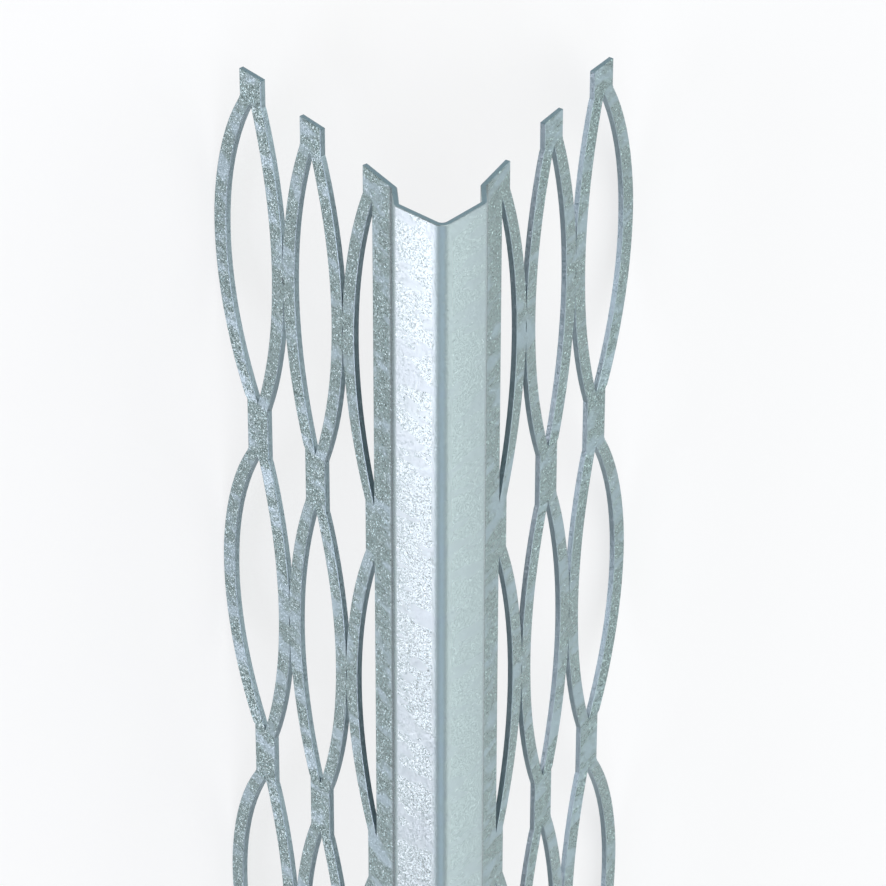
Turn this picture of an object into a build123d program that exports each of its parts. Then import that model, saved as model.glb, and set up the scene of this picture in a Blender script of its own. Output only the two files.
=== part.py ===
from build123d import *
import math
import os

# Galvanised steel corner bead for plaster: one roll-formed strip with a V nose,
# a small step back on each side, a flat band, and a slit and expanded mesh wing.
# It lies nose up on the outer edges of its wings, with its length along Y.
# The section is drawn on the outer face, in millimetres, with the nose at the top.

# Stock
length = 2500.0
sheet = 0.5

# Nose and steps
nose_width = 7.5
nose_angle = 93.0
nose_radius = 1.0
step_depth = 2.55
step_lean = 1.5
bend_inside = 0.15

# Wings
wing_angle = 62.0
band_width = 2.8
column_spacing = 9.1
outer_reach = 6.2

# Mesh: rows of joints, with long pointed openings between them
pitch = 35.7
joint_height = 5.2
tip_height = 5.5
joint_width = 2.7
strand_width = 1.7
weld_height = 2.6

# Places that follow from the sizes above
nose_half = math.radians(nose_angle / 2)
wing_half = math.radians(wing_angle / 2)
nose_cap = nose_radius * (1 / math.sin(nose_half) - 1)
edge_x = nose_width / 2
edge_depth = edge_x / math.tan(nose_half) - nose_cap
fold_x = edge_x + step_depth * math.tan(math.radians(step_lean))
fold_depth = edge_depth + step_depth
column_b = band_width + column_spacing
column_a = column_b + column_spacing
wing_width = column_a + outer_reach
height = fold_depth + wing_width * math.cos(wing_half) + sheet * math.sin(wing_half)
join_u = band_width / 2
rows = math.ceil(length / pitch) + 1
end_y = length / 2
half_joint = joint_width / 2
half_span = (pitch - joint_height) / 2
half_lens = (pitch - tip_height) / 2
inner_belly = column_spacing / 2 - strand_width
outer_belly = outer_reach - strand_width


def on_wing(u):
    """Section point on the outer face of the right wing, u from the fold."""
    return (fold_x + u * math.sin(wing_half), height - fold_depth - u * math.cos(wing_half))


def rim_point(v):
    """Distance of a ring's outer rim from its column at v from the middle of the strand.

    The rim is one circle through the corners of the joints above and below,
    and through the end of the short weld to the ring beside it.
    """
    rise = column_spacing / 2 - half_joint
    end = weld_height / 2
    centre = (half_span**2 - end**2 - rise**2) / (2 * rise)
    radius = math.hypot(centre, half_span)
    return half_joint - centre + math.sqrt(radius**2 - v**2)


def mirrored(points):
    return [(-x, z) for x, z in reversed(points)]


# Folded middle of the strip, from the middle of one band to the middle of the other
right_side = [(edge_x, height - edge_depth), on_wing(0), on_wing(join_u)]
nose_point = (0.0, height + nose_cap)
bends = [bend_inside, bend_inside + sheet]

with BuildPart() as middle:
    with BuildSketch(Plane.XZ):
        with BuildLine():
            FilletPolyline(
                *mirrored(right_side),
                nose_point,
                *right_side,
                radius=bends + [nose_radius] + bends[::-1],
            )
            offset(amount=sheet, side=Side.RIGHT)
        make_face()
    extrude(amount=length / 2, both=True)

# Outlines of the openings, each about its own centre
with BuildSketch() as outer_lens:
    with BuildLine():
        ThreePointArc((0, half_lens), (outer_belly, 0), (0, -half_lens))
        ThreePointArc((0, -half_lens), (-inner_belly, 0), (0, half_lens))
    make_face()

with BuildSketch() as inner_lens:
    with BuildLine():
        ThreePointArc((0, half_lens), (inner_belly, 0), (0, -half_lens))
        ThreePointArc((0, -half_lens), (-inner_belly, 0), (0, half_lens))
    make_face()

with BuildSketch() as band_lens:
    with BuildLine():
        ThreePointArc((0, half_lens), (inner_belly, 0), (0, -half_lens))
        Line((0, -half_lens), (0, half_lens))
    make_face()

quarter = (half_span + weld_height / 2) / 2
cusp = (0, pitch / 2 - weld_height / 2)
bow = (rim_point(quarter) - column_spacing / 2, pitch / 2 - quarter)
shoulder = (half_joint - column_spacing / 2, joint_height / 2)

with BuildSketch() as between:
    with BuildLine():
        ThreePointArc(cusp, bow, shoulder)
        Line(shoulder, (shoulder[0], 0))
        mirror(about=Plane.XZ)
        mirror(about=Plane.YZ)
    make_face()

# Mesh wing, drawn flat on the outer face and given the thickness of the sheet
wing_plane = Plane(
    origin=(on_wing(0)[0], 0, on_wing(0)[1]),
    x_dir=(math.sin(wing_half), 0, -math.cos(wing_half)),
    z_dir=(math.cos(wing_half), 0, math.sin(wing_half)),
)
lens_rows = [end_y - (row + 0.5) * pitch for row in range(rows)]
joint_rows = [end_y - row * pitch for row in range(rows + 1)]
gap_columns = [column_b - column_spacing / 2, column_a - column_spacing / 2]
rim_u = column_a + half_joint

with BuildPart() as wing:
    with BuildSketch(wing_plane):
        # Outline with its wavy outer rim, run past both ends
        with BuildLine():
            Polyline((join_u, joint_rows[-1]), (join_u, end_y), (rim_u, end_y))
            for y in lens_rows:
                Line((rim_u, y + pitch / 2), (rim_u, y + half_span))
                ThreePointArc((rim_u, y + half_span), (wing_width, y), (rim_u, y - half_span))
                Line((rim_u, y - half_span), (rim_u, y - pitch / 2))
            Line((rim_u, joint_rows[-1]), (join_u, joint_rows[-1]))
        make_face()
        with Locations(*[(column_a, y) for y in lens_rows]):
            add(outer_lens.sketch, mode=Mode.SUBTRACT)
        with Locations(*[(column_b, y) for y in lens_rows]):
            add(inner_lens.sketch, mode=Mode.SUBTRACT)
        with Locations(*[(band_width, y) for y in lens_rows]):
            add(band_lens.sketch, mode=Mode.SUBTRACT)
        with Locations(*[(u, y) for u in gap_columns for y in joint_rows]):
            add(between.sketch, mode=Mode.SUBTRACT)
        # Sawn to length
        with Locations(((join_u + wing_width) / 2, 0)):
            Rectangle(wing_width - join_u + 1, length, mode=Mode.INTERSECT)
    extrude(amount=-sheet)

# One strip
with BuildPart() as corner_bead:
    add(middle.part)
    add(wing.part)
    mirror(wing.part, about=Plane.YZ)

corner_bead.part.label = "corner_bead"

os.makedirs("parts", exist_ok=True)
export_step(corner_bead.part, "parts/corner_bead.step")
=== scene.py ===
import math

import bpy
import numpy as np
from mathutils import Matrix, Vector


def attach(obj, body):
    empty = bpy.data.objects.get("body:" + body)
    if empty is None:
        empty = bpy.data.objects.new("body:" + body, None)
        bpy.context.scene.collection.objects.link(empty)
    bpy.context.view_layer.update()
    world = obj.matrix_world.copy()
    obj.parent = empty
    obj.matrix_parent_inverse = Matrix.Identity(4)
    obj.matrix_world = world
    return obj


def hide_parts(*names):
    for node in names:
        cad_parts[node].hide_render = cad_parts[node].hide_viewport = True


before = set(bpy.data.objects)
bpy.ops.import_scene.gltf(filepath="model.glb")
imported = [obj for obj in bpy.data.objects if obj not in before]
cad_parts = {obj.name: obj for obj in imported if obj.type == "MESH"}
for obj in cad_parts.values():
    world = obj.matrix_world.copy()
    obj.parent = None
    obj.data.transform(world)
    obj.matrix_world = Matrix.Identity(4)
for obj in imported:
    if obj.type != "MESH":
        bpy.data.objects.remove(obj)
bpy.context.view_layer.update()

# Sizes of the strip, in millimetres and degrees
LENGTH = 2500.0
SHEET = 0.5
NOSE_WIDTH, NOSE_ANGLE, NOSE_RADIUS = 7.5, 93.0, 1.0
STEP_DEPTH, STEP_LEAN, BEND_INSIDE = 2.55, 1.5, 0.15
WING_ANGLE, BAND_WIDTH = 62.0, 2.8
COLUMN_SPACING, OUTER_REACH = 9.1, 6.2
PITCH, JOINT_HEIGHT, TIP_HEIGHT = 35.7, 5.2, 5.5
JOINT_WIDTH, STRAND_WIDTH, WELD_HEIGHT = 2.7, 1.7, 2.6
SLIT_HEIGHT, SLIT_WIDTH = 1.2, 0.12

# Edges: bevel of the sawn ends, roll of a sheared edge across the sheet and into it, and chamfer at its back
EDGE_BEVEL = 0.06
ROLL_ACROSS, ROLL_INTO = 0.08, 0.034
BACK_CHAMFER = 0.012

# How far each strand is turned out of the wing's plane, in degrees: at its joint and halfway between joints.
# A strand that runs inwards down the strip is turned more, and one that runs outwards less, by LEAN for each
# unit of slope. From the joint's turn to the halfway one it follows a cosine to the power of EASE, and beside
# a weld the rim stays flat and comes free over FREE_RUN millimetres.
TWIST = {"band": (0.0, 0.0), "b_in": (5.8, 0.3), "b_out": (5.8, 2.6), "a_in": (8.0, 4.1), "a_out": (8.0, 4.3)}
LEAN = 7.0
EASE = 3
FREE_RUN = 3.0

# Where the mesh has points, in millimetres from a joint to halfway: the first rows are finer than the rest
FINE_ROWS = 3
FINE_STOPS = [0, 1.3, 2.6, 2.75, 2.9, 3.4, 4.3, 5.6, 7, 8.5, 10, 11.5, 13, 14.4, 15.6, 16.2, 16.55, 17.25,
              17.4, 17.6, PITCH / 2]
COARSE_STOPS = [0, 2.68, 5.4, 8.2, 11.0, 13.8, 16.55]
BEND_STEPS, NOSE_STEPS = 5, 12

# Openings narrower than CLOSED millimetres are shut, points on the same step of a millimetre are one point, and
# faces that meet at more than SHARP_ANGLE degrees keep a sharp edge between them
CLOSED = 1e-6
MERGE_STEPS_PER_MM = 1e4
SHARP_ANGLE = 18.0

nose_half = math.radians(NOSE_ANGLE / 2)
wing_half = math.radians(WING_ANGLE / 2)
nose_cap = NOSE_RADIUS * (1 / math.sin(nose_half) - 1)
edge_x = NOSE_WIDTH / 2
edge_depth = edge_x / math.tan(nose_half) - nose_cap
fold_x = edge_x + STEP_DEPTH * math.tan(math.radians(STEP_LEAN))
fold_depth = edge_depth + STEP_DEPTH
wing_width = BAND_WIDTH + 2 * COLUMN_SPACING + OUTER_REACH
height = fold_depth + wing_width * math.cos(wing_half) + SHEET * math.sin(wing_half)


# ---------------------------------------------------------------- section and mesh outline

def on_wing(u, w=0.0):
    """A point of the section: u along the wing from the fold, w out of its outer face."""
    return (fold_x + u * math.sin(wing_half) + w * math.cos(wing_half),
            height - fold_depth - u * math.cos(wing_half) + w * math.sin(wing_half))


def rounded(points, radii, steps):
    """The section's line with its corners turned into arcs, and the direction square to it at each point.

    An arc is tangent to both runs: it starts radius times the tangent of half the turn
    before the corner, and its centre lies radius to the side that the line turns to.
    """
    p = np.array(points, float)
    line, square = [], []
    for before, corner, after, radius, count in zip(p, p[1:], p[2:], radii, steps):
        a, b = corner - before, after - corner
        a, b = a / np.hypot(*a), b / np.hypot(*b)
        turn = math.atan2(a[0] * b[1] - a[1] * b[0], a @ b)
        left = np.array([-a[1], a[0]])
        side = left * math.copysign(1, turn)
        start = corner - a * radius * math.tan(abs(turn) / 2)
        t = np.linspace(0, abs(turn), count + 1)[:, None]
        line.append(start + radius * (np.sin(t) * a + (1 - np.cos(t)) * side))
        square.append(np.cos(t) * left - math.copysign(1, turn) * np.sin(t) * a)
    return np.concatenate(line), np.concatenate(square)


def section():
    """The outer face of the folded middle, from the edge of one band over the nose to the edge of the other."""
    corners = [on_wing(BAND_WIDTH), on_wing(0), (edge_x, height - edge_depth)]
    line = [(-x, z) for x, z in corners] + [(0.0, height + nose_cap)] + corners[::-1]
    bends = [BEND_INSIDE, BEND_INSIDE + SHEET]
    steps = [BEND_STEPS] * 2
    return rounded(line, bends + [NOSE_RADIUS] + bends[::-1], steps + [NOSE_STEPS] + steps)


def bow(v, half_height, reach):
    """A circular arc's distance from its chord, reach in the middle and 0 from half_height on."""
    radius = (half_height**2 + reach**2) / (2 * reach)
    arc = np.sqrt(np.maximum(radius**2 - v**2, 0)) - radius + reach
    return np.where(np.abs(v) < half_height, arc, 0.0)


def rim(v, half_span):
    """A strand's outer rim: half a joint wide at the joints, then one circle to the short weld beside the next
    strand, less half the hairline slit, an ellipse in the middle of the weld."""
    rise, end = COLUMN_SPACING / 2 - JOINT_WIDTH / 2, WELD_HEIGHT / 2
    centre = (half_span**2 - end**2 - rise**2) / (2 * rise)
    radius = math.hypot(centre, half_span)
    arc = JOINT_WIDTH / 2 - centre + np.sqrt(np.maximum(radius**2 - v**2, 0))
    edge = np.where(np.abs(v) < half_span, arc, JOINT_WIDTH / 2)
    slit = SLIT_WIDTH / 2 * np.sqrt(np.maximum(1 - (2 * v / SLIT_HEIGHT) ** 2, 0))
    return np.minimum(edge, COLUMN_SPACING / 2 - slit)


def levels():
    """Distances down the strip from the shown end: all of them, and those where a row or the strip ends."""
    def whole_row(stops):
        stops = np.array(stops)
        return np.concatenate([stops, PITCH - stops[:0:-1]])

    fine, coarse = whole_row(FINE_STOPS), whole_row(COARSE_STOPS)
    count = int(LENGTH // PITCH)
    down = [k * PITCH + (fine if k < FINE_ROWS else coarse) for k in range(count)]
    ends = [0.0, EDGE_BEVEL, LENGTH - EDGE_BEVEL, LENGTH]
    down = np.unique(np.concatenate(down + [[count * PITCH], ends]))
    row_ends = np.unique(np.append(np.arange(count + 1) * PITCH, ends))
    return down, row_ends


def end_bevel(down):
    """What the bevel takes off the sheet's faces: all of it at the two sawn ends, nothing between."""
    return np.where((down < CLOSED) | (down > LENGTH - CLOSED), EDGE_BEVEL, 0.0)


def edge_lines(u, w, turn, outward, room, end):
    """Four lines along one edge of the sheet: face, top and bottom of the cut, and back.

    A sheared edge rolls over, wide across the sheet and shallow into it, and is sharp at
    the back. The roll is narrower where the opening beside the edge is. end is what the
    bevel of the sawn ends takes off.
    """
    share = np.minimum(1, room / (3 * ROLL_ACROSS))
    along = np.stack([np.cos(turn), np.sin(turn)], 1)
    square = np.stack([-np.sin(turn), np.cos(turn)], 1)
    edge = np.stack([u, w], 1)
    top, bottom = (edge - (outward * share * roll)[:, None] * along for roll in (ROLL_ACROSS, BACK_CHAMFER))
    drop, back = (np.maximum(share * roll, end)[:, None] for roll in (ROLL_INTO, BACK_CHAMFER))
    return [top - end[:, None] * square, edge - drop * square,
            edge - (SHEET - back) * square, bottom - (SHEET - end)[:, None] * square]


def wing_edges(down):
    """The wing's strands, from the band to the outer rim: for each edge its four lines, and where it is open.

    A strand lies between the arc of its opening and its rim. It is turned about its own
    middle line, by an angle that eases from the joint's to the one halfway.
    """
    end = end_bevel(down)
    from_joint = np.abs((down + PITCH / 2) % PITCH - PITCH / 2)
    v = PITCH / 2 - from_joint
    half_span, half_lens = (PITCH - JOINT_HEIGHT) / 2, (PITCH - TIP_HEIGHT) / 2
    inner = bow(v, half_lens, COLUMN_SPACING / 2 - STRAND_WIDTH)
    outer = bow(v, half_lens, OUTER_REACH - STRAND_WIDTH)
    edge = rim(v, half_span)
    last_edge = JOINT_WIDTH / 2 + bow(v, half_span, OUTER_REACH - JOINT_WIDTH / 2)
    way = np.clip((from_joint - TIP_HEIGHT / 2) / (PITCH / 2 - TIP_HEIGHT / 2), 0, 1)
    ease = (0.5 + 0.5 * np.cos(math.pi * way)) ** EASE
    free = np.clip((np.abs(v) - WELD_HEIGHT / 2) / FREE_RUN, 0, 1)
    free = free * free * (3 - 2 * free)
    joint = from_joint < TIP_HEIGHT / 2 + CLOSED
    still = np.zeros_like(v)

    edges = [(edge_lines(still + BAND_WIDTH, still, still, 1, inner, end), inner)]
    for name, column, side, lens, outside in (
        ("band", 0, 1, inner, edge), ("b_in", 1, -1, inner, edge), ("b_out", 1, 1, inner, edge),
        ("a_in", 2, -1, inner, edge), ("a_out", 2, 1, outer, last_edge),
    ):
        at_joint, halfway = (math.radians(angle) for angle in TWIST[name])
        slope = np.where(joint, 0.0, np.gradient(side * (lens + outside) / 2, down)) * free
        turn = halfway + (at_joint - halfway) * ease - math.radians(LEAN) * slope * (name != "band")
        rim_free = still + 1 if name == "a_out" else free
        middle = np.where(joint, 0.0, (lens + outside) / 2)
        lift = np.where(joint, 0.0, math.tan(at_joint) * JOINT_WIDTH / 4 * (1 - way) ** 2)
        w_lens = side * (np.tan(turn) * (lens - middle) + lift)
        w_rim = side * (np.tan(turn) * (outside - middle) + lift) * rim_free
        gap = still + 1 if name == "a_out" else COLUMN_SPACING / 2 - edge
        u = BAND_WIDTH + column * COLUMN_SPACING
        pair = [(edge_lines(u + side * lens, w_lens, turn, -side, lens, end), lens),
                (edge_lines(u + side * outside, w_rim, turn * rim_free, side, gap, end), gap)]
        edges += pair[::side]
    return edges


# ---------------------------------------------------------------- strip

class NumberedPoints:
    """Points in millimetres, numbered as they are added."""

    def __init__(self):
        self.blocks, self.count = [], 0

    def add(self, x, down, z):
        """Keeps points at x across, down from the shown end and z up, and gives back their numbers."""
        block = np.stack(np.broadcast_arrays(x, LENGTH / 2 - down, z), -1).reshape(-1, 3)
        numbers = self.count + np.arange(len(block))
        self.blocks.append(block)
        self.count += len(block)
        return numbers


def cells(first, second, where=None):
    """Four-cornered faces between two lines of point numbers, or only where the mask says."""
    found = np.stack([first[:-1], first[1:], second[1:], second[:-1]], -1)
    return (found if where is None else found[where]).reshape(-1, 4)


def folded_middle(points, row_ends):
    """The section carried along the length: its two skins as grids of point numbers, with the faces of the
    sheet and of the sawn ends."""
    line, square = section()
    bevel = end_bevel(row_ends)[:, None, None]
    skins = []
    for depth in (bevel, SHEET - bevel):
        place = line - depth * square
        numbers = points.add(place[..., 0], row_ends[:, None], place[..., 1])
        skins.append(numbers.reshape(len(row_ends), len(line)))
    outside, inside = skins
    sheet_faces = [cells(outside[:, :-1], outside[:, 1:]), cells(inside[:, 1:], inside[:, :-1])]
    cut_faces = []
    for end, order in ((0, 1), (-1, -1)):
        out, back = outside[end], inside[end]
        cut_faces.append(np.stack([out[:-1], out[1:], back[1:], back[:-1]], 1)[:, ::order])
    return skins, sheet_faces, cut_faces


def mesh_wing(points, side, skins, edges, down, row_starts):
    """One wing, on the side of +X or -X, joined to the skins of the middle: faces of the sheet and of the cuts.

    The band is one flat face to a row on each side of the sheet, between the fold and the
    edge that carries the mesh. Each strand is a ribbon of eight lines, with no wall where
    two strands are joined.
    """
    lines, opened = [], []
    for four, room in edges:
        lines.append([])
        for place in four:
            x, z = on_wing(place[:, 0], place[:, 1])
            lines[-1].append(points.add(side * x, down, z))
        opened.append(room[:-1] + room[1:] > CLOSED)
    outside, inside = skins
    fold = -1 if side > 0 else 0
    sheet_faces, cut_faces = [], []
    for row, (low, high) in enumerate(zip(row_starts, row_starts[1:])):
        for skin, face, order in ((outside, 0, 1), (inside, 3, -1)):
            loop = [*skin[row:row + 2, fold], *lines[0][face][low:high + 1][::-1]]
            sheet_faces.append([loop[::side * order]])
    loops = [(lines[0], [opened[0]] * 3)]
    for k in range(1, len(lines), 2):
        (a, b), (open_a, open_b) = lines[k:k + 2], opened[k:k + 2]
        loop = [a[0], b[0], b[1], b[2], b[3], a[3], a[2], a[1], a[0]]
        loops.append((loop, [None] + [open_b] * 3 + [None] + [open_a] * 3))
    for loop, masks in loops:
        for first, second, mask in zip(loop, loop[1:], masks):
            (sheet_faces if mask is None else cut_faces).append(cells(first, second, mask)[:, ::side])
    for end, order in ((0, side), (-1, -side)):
        band_end = [outside[end, fold], *[n[end] for n in lines[0]], inside[end, fold]]
        cut_faces.append([band_end[::order]])
        cut_faces += [[[n[end] for n in loop[:-1]][::order]] for loop, _ in loops[1:]]
    return sheet_faces, cut_faces


def joined_skin(name, points, face_groups):
    """A mesh from numbered points and two groups of faces, one material to a group.

    Points that fall together become one, and a face with fewer than three points left
    is dropped.
    """
    points = np.concatenate(points.blocks)
    grid = np.round(points * MERGE_STEPS_PER_MM).astype(np.int64)
    _, keep, merged = np.unique(grid, axis=0, return_index=True, return_inverse=True)
    merged = merged.ravel()
    polygons, kinds = [], []
    for kind, groups in enumerate(face_groups):
        for face in (f for group in groups for f in np.asarray(group)):
            loop = list(dict.fromkeys(merged[face].tolist()))
            if len(loop) > 2:
                polygons.append(loop)
                kinds.append(kind)
    mesh = bpy.data.meshes.new(name)
    mesh.from_pydata((points[keep] * 0.001).tolist(), [], polygons)
    mesh.polygons.foreach_set("material_index", kinds)
    mesh.polygons.foreach_set("use_smooth", [True] * len(kinds))
    mesh.set_sharp_from_angle(angle=math.radians(SHARP_ANGLE))
    return mesh


def strip_mesh():
    """The whole strip as one closed skin: the folded middle and a wing of mesh on each side."""
    down, row_ends = levels()
    points = NumberedPoints()
    skins, sheet_faces, cut_faces = folded_middle(points, row_ends)
    edges = wing_edges(down)
    row_starts = np.searchsorted(down, row_ends - CLOSED)
    for side in (1, -1):
        wing_sheet, wing_cut = mesh_wing(points, side, skins, edges, down, row_starts)
        sheet_faces += wing_sheet
        cut_faces += wing_cut
    return joined_skin("corner_bead_strip", points, (sheet_faces, cut_faces))


# ---------------------------------------------------------------- finishes

# Crystals are drawn 0.1 mm wide, about twice their size, so that they show. Relief is how far their facets
# stand out.
CRYSTALS_PER_MM = 10.0
SHEET_RELIEF, CUT_RELIEF = 0.0041, 0.0009

# Clouds are about 2 mm along the strip, and CLOUD_STRETCH draws them out to 4.5 mm across it
CLOUD_STRETCH = (0.45, 1.0, 0.45)
CLOUDS_PER_MM = 0.48
CLOUD_EDGE = {"From Min": 0.64, "From Max": 0.48}

# The tip of the nose is rubbed up to 0.5 mm from the middle, and less up to 0.9 mm
TIP_EDGE = {"From Min": 0.9, "From Max": 0.5}

# A cut this near the strip's ends, in millimetres, is sawn and not sheared
SAWN_END = 0.1

# The floor's share of plain white, for the camera and for what the metal mirrors
WHITE_TO_CAMERA, WHITE_TO_METAL = 0.7, 0.25


def linear(hex_colour):
    """An sRGB hex value as linear red, green, blue and alpha 1."""
    c = np.array([int(hex_colour[i:i + 2], 16) for i in (1, 3, 5)]) / 255
    return (*np.where(c <= 0.04045, c / 12.92, ((c + 0.055) / 1.055) ** 2.4), 1.0)


def add(tree, kind, inputs=None, output=0, **settings):
    """Adds a node with its settings, gives each named input a value or a link, and returns one output."""
    n = tree.nodes.new("ShaderNode" + kind)
    for key, value in settings.items():
        setattr(n, key, value)
    for key, value in (inputs or {}).items():
        socket = n.inputs[key]
        if isinstance(value, bpy.types.NodeSocket):
            tree.links.new(value, socket)
        else:
            socket.default_value = value
    return n if output is None else n.outputs[output]


def new_material(name):
    """An empty material and its node tree."""
    material = bpy.data.materials.new(name)
    material.use_nodes = True
    material.node_tree.nodes.clear()
    return material, material.node_tree


def finish_material(tree, inputs):
    """Ends a material with one Principled shader."""
    shader = add(tree, "BsdfPrincipled", inputs)
    add(tree, "OutputMaterial", {"Surface": shader}, output=None)


def place_in_mm(tree):
    """Object coordinates in millimetres."""
    metres = add(tree, "TexCoord", output="Object")
    return add(tree, "VectorMath", {0: metres, "Scale": 1000.0}, operation="SCALE")


def zinc_crystals(tree, mm, relief, strength):
    """Relief of zinc crystals: round cells of random place, each a flat facet leaning a random way.

    A facet's height is its lean times the way from the cell's middle, and the lean is a
    random vector times its own length squared, so most facets lie nearly flat.
    """
    cell = add(tree, "TexVoronoi", {"Vector": mm, "Scale": CRYSTALS_PER_MM}, output=None)
    apart = add(tree, "VectorMath", {0: mm, 1: cell.outputs["Position"]}, operation="SUBTRACT")
    lean = add(tree, "VectorMath", {0: cell.outputs["Color"], 1: (0.5, 0.5, 0.5)}, operation="SUBTRACT")
    steep = add(tree, "VectorMath", {0: lean, 1: lean}, "Value", operation="DOT_PRODUCT")
    lean = add(tree, "VectorMath", {0: lean, "Scale": steep}, operation="SCALE")
    facet = add(tree, "VectorMath", {0: apart, 1: lean}, "Value", operation="DOT_PRODUCT")
    return add(tree, "Bump", {"Height": facet, "Strength": strength, "Distance": relief})


def galvanised_steel():
    """Hot-dip galvanised sheet.

    Fine zinc crystals, each leaning its own way, sparkle, and clouds drawn out across the
    strip are smoother and duller. The rolls press the nose smooth and bright and rub its
    tip dull, and stretching leaves the wings rougher and greyer. The fold below each step
    is painted darker, as painted shade in the crease.
    """
    material, t = new_material("hot_dip_galvanised_sheet")
    mm = place_in_mm(t)
    place = add(t, "SeparateXYZ", {"Vector": mm}, output=None).outputs
    across = add(t, "Math", {0: place["X"]}, operation="ABSOLUTE")
    wing = add(t, "MapRange", {"Value": across, "From Min": edge_x, "From Max": fold_x + 0.3})

    # bare is 0 in the clouds and 1 elsewhere
    drawn = add(t, "VectorMath", {0: mm, 1: CLOUD_STRETCH}, operation="MULTIPLY")
    clouds = add(t, "TexNoise", {"Vector": drawn, "Scale": CLOUDS_PER_MM, "Detail": 3.0, "Roughness": 0.6})
    bare = add(t, "MapRange", {"Value": clouds, **CLOUD_EDGE}, interpolation_type="SMOOTHSTEP")

    # Relief, nose to wing: flatter in the clouds
    in_clouds = add(t, "MapRange", {"Value": wing, "To Min": 0.15, "To Max": 0.4})
    elsewhere = add(t, "MapRange", {"Value": wing, "To Min": 0.2, "To Max": 1.0})
    strength = add(t, "MapRange", {"Value": bare, "To Min": in_clouds, "To Max": elsewhere})
    relief = zinc_crystals(t, mm, SHEET_RELIEF, strength)

    # Colour, from cloud to bare sheet, nose to wing, with painted shade darkening the crease from the fold to 2
    # mm above it
    nose_colour = add(t, "MixRGB", {"Fac": bare, "Color1": linear("#A5B4B7"), "Color2": linear("#A6B6B7")})
    wing_colour = add(t, "MixRGB", {"Fac": bare, "Color1": linear("#9EB1B7"), "Color2": linear("#91A5A4")})
    colour = add(t, "MixRGB", {"Fac": wing, "Color1": nose_colour, "Color2": wing_colour})
    fold_z = height - fold_depth
    low = add(t, "MapRange", {"Value": place["Z"], "From Min": fold_z + 2.0, "From Max": fold_z,
                              "To Max": 0.75})
    painted_fold_shade = add(t, "MapRange", {"Value": across, "From Min": fold_x + 0.2, "From Max": fold_x + 0.05,
                                "To Max": low})
    # Painted shade: the crease at the foot of each step is darkened towards #505C5E, fading out 2 mm above the
    # fold
    colour = add(t, "MixRGB", {"Fac": painted_fold_shade, "Color1": colour, "Color2": linear("#505C5E")})

    # Roughness: 0.26 where bare, more in the clouds, most on the rubbed tip
    cloud_dull = add(t, "MapRange", {"Value": wing, "To Min": 0.31, "To Max": 0.4})
    dull = add(t, "MapRange", {"Value": bare, "To Min": cloud_dull, "To Max": 0.26})
    tip = add(t, "MapRange", {"Value": across, **TIP_EDGE}, interpolation_type="SMOOTHSTEP")
    dull = add(t, "MapRange", {"Value": tip, "To Min": dull, "To Max": 0.42})
    finish_material(t, {"Base Color": colour, "Metallic": 1.0, "Roughness": dull, "Normal": relief})
    return material


def sheared_edge():
    """Cut edge of the sheet: steel with zinc drawn over it by the blade, bluer than the faces, with the same
    fine sparkle. The sawn ends have no zinc and are darker."""
    material, t = new_material("sheared_sheet_edge")
    mm = place_in_mm(t)
    smear = add(t, "TexNoise", {"Vector": mm, "Scale": 1.2, "Detail": 3.0})
    drawn_zinc = add(t, "MixRGB", {"Fac": smear, "Color1": linear("#8D9EA4"), "Color2": linear("#9BADB3")})
    steel = add(t, "MixRGB", {"Fac": smear, "Color1": linear("#738A91"), "Color2": linear("#80979F")})
    along = add(t, "Math", {0: add(t, "SeparateXYZ", {"Vector": mm}, "Y")}, operation="ABSOLUTE")
    sawn = add(t, "Math", {0: along, 1: LENGTH / 2 - SAWN_END}, operation="GREATER_THAN")
    colour = add(t, "MixRGB", {"Fac": sawn, "Color1": drawn_zinc, "Color2": steel})
    relief = zinc_crystals(t, mm, CUT_RELIEF, 1.0)
    finish_material(t, {"Base Color": colour, "Metallic": 1.0, "Roughness": 0.4, "Normal": relief})
    return material


def pale_floor():
    """Matt white floor that keeps the shadow, and that the camera and the metal see in part as plain white."""
    material, t = new_material("matt_white_floor")
    matt = add(t, "BsdfPrincipled", {"Base Color": linear("#F6F7F7"), "Roughness": 0.9,
                                     "Specular IOR Level": 0.1})
    white = add(t, "Emission", {"Color": linear("#FFFFFF"), "Strength": 1.0})
    rays = add(t, "LightPath", output=None).outputs
    camera, glossy, through = rays["Is Camera Ray"], rays["Is Glossy Ray"], rays["Is Transmission Ray"]
    mirrored = add(t, "Math", {0: glossy, 1: through}, operation="MAXIMUM")
    share = add(t, "Math", {0: mirrored, 1: WHITE_TO_METAL}, operation="MULTIPLY")
    share = add(t, "Math", {0: camera, 1: WHITE_TO_CAMERA, 2: share}, operation="MULTIPLY_ADD")
    shown = add(t, "MixShader", {0: share, 1: matt, 2: white})
    add(t, "OutputMaterial", {"Surface": shown}, output=None)
    return material


# ---------------------------------------------------------------- piece

def corner_bead():
    """The strip, its sheet galvanised and its cuts sheared."""
    mesh = strip_mesh()
    mesh.materials.append(galvanised_steel())
    mesh.materials.append(sheared_edge())
    piece = bpy.data.objects.new("corner_bead_strip", mesh)
    bpy.context.scene.collection.objects.link(piece)
    return piece


bead = corner_bead()
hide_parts("corner_bead")
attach(bead, "root")


# ---------------------------------------------------------------- stage

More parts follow.
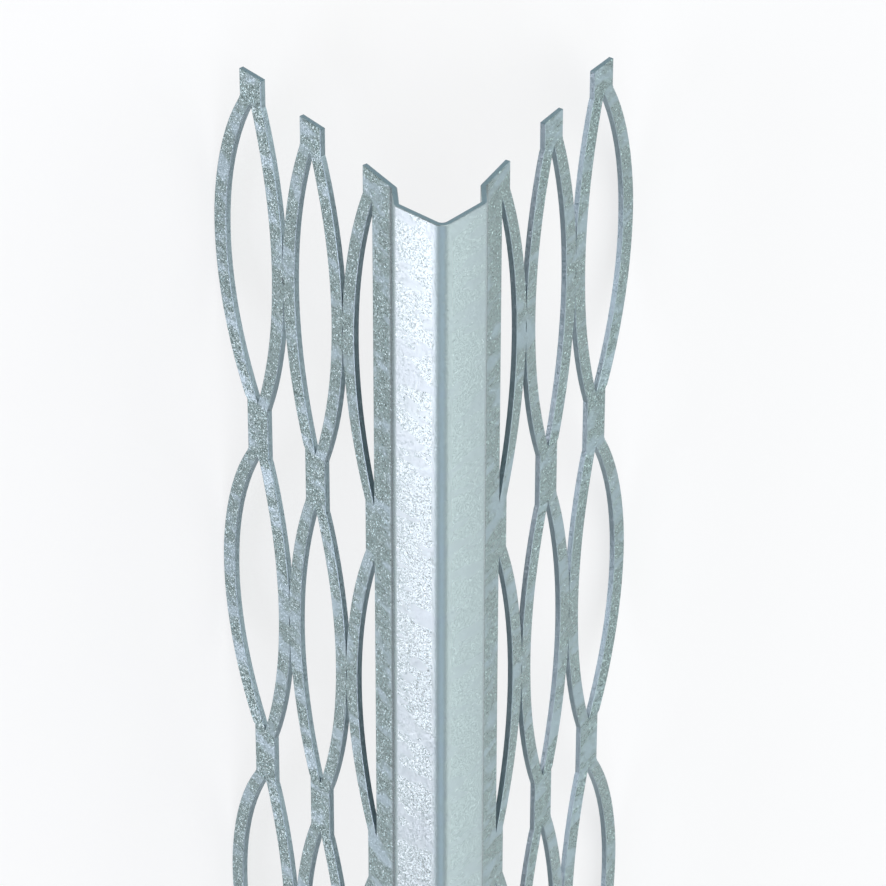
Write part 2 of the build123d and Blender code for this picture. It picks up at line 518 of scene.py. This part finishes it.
# In metres. Each softbox has its place, its size across and upright, its watts and its colour, and all face
# the shown end.
FLOOR_HALF = 40.0
WORLD_COLOUR, WORLD_STRENGTH = "#F3F5F5", 0.36
LAMP_AIM = (0, 1.2, 0)
SOFTBOXES = (
    ("left_low", (-3.23, 0.51, 0.68), (3.4, 1.3), 44.0, "#FDECF6"),
    ("left_high", (-2.97, 0.68, 1.96), (3.0, 1.5), 37.0, "#EEF2FF"),
    ("right_low", (4.5, -0.6, 0.9), (6.0, 1.7), 38.0, "#FFFFFF"),
    ("right_high", (3.7, 0.68, 2.33), (5.0, 2.6), 46.0, "#FFFFFF"),
    ("back_high", (2.3, 2.95, 2.9), (4.6, 4.4), 112.0, "#FFFFFF"),
    ("front_high", (0.0, -1.1, 3.3), (3.0, 3.0), 28.0, "#D6E8FF"),
)

# The camera's pitch, yaw and roll in degrees, what it aims at in millimetres, and its distance in metres
CAMERA_ANGLES = (35.151, 3.139, 0.130)
CAMERA_AIM = (0.063, LENGTH / 2 - 20.898, height)
CAMERA_DISTANCE = 0.416877
SENSOR_WIDTH = 36.0
FOCAL_PIXELS, FRAME_PIXELS = 5149.5, 886


def stage_floor():
    """A flat square under the strip."""
    mesh = bpy.data.meshes.new("floor")
    s = FLOOR_HALF
    mesh.from_pydata([(-s, -s, 0), (s, -s, 0), (s, s, 0), (-s, s, 0)], [], [(0, 1, 2, 3)])
    mesh.materials.append(pale_floor())
    floor = bpy.data.objects.new("floor", mesh)
    bpy.context.scene.collection.objects.link(floor)


def softbox(name, place, size, power, colour):
    """A flat lamp that faces the shown end."""
    lamp = bpy.data.lights.new(name, "AREA")
    lamp.shape, lamp.size, lamp.size_y, lamp.energy = "RECTANGLE", *size, power
    lamp.color = linear(colour)[:3]
    obj = bpy.data.objects.new(name, lamp)
    obj.location = place
    obj.rotation_euler = (Vector(LAMP_AIM) - Vector(place)).to_track_quat("-Z", "Y").to_euler()
    bpy.context.scene.collection.objects.link(obj)


def surroundings():
    """Plain pale light from all round."""
    world = bpy.data.worlds.new("studio")
    bpy.context.scene.world = world
    world.use_nodes = True
    t = world.node_tree
    t.nodes.clear()
    back = add(t, "Background", {"Color": linear(WORLD_COLOUR), "Strength": WORLD_STRENGTH})
    add(t, "OutputWorld", {"Surface": back}, output=None)


def place_camera():
    """The camera looks down on the shown end from 417 mm, pitched 35.15 degrees from square on.

    Its directions are worked out with the strip upright, and then laid down with it:
    across stays X, along the strip becomes Y, and depth becomes down.
    """
    pitch, yaw, roll = (math.radians(a) for a in CAMERA_ANGLES)
    forward = Vector((math.sin(yaw) * math.cos(pitch), math.cos(yaw) * math.cos(pitch), -math.sin(pitch)))
    right = Vector((math.cos(yaw), -math.sin(yaw), 0))
    up = right.cross(forward)
    right, up = math.cos(roll) * right + math.sin(roll) * up, math.cos(roll) * up - math.sin(roll) * right
    laid = Matrix(((1, 0, 0), (0, 0, 1), (0, -1, 0)))
    right, up, forward = laid @ right, laid @ up, laid @ forward
    aim = Vector(CAMERA_AIM) * 0.001
    camera = bpy.data.cameras.new("camera")
    camera.sensor_width, camera.lens = SENSOR_WIDTH, SENSOR_WIDTH * FOCAL_PIXELS / FRAME_PIXELS
    camera.clip_start, camera.clip_end = 0.02, 200.0
    obj = bpy.data.objects.new("camera", camera)
    turn = Matrix((right, up, -forward)).transposed()
    obj.matrix_world = Matrix.Translation(aim - forward * CAMERA_DISTANCE) @ turn.to_4x4()
    bpy.context.scene.collection.objects.link(obj)
    bpy.context.scene.camera = obj


stage_floor()
surroundings()
for settings in SOFTBOXES:
    softbox(*settings)
place_camera()
bpy.context.scene.view_settings.view_transform = "Standard"
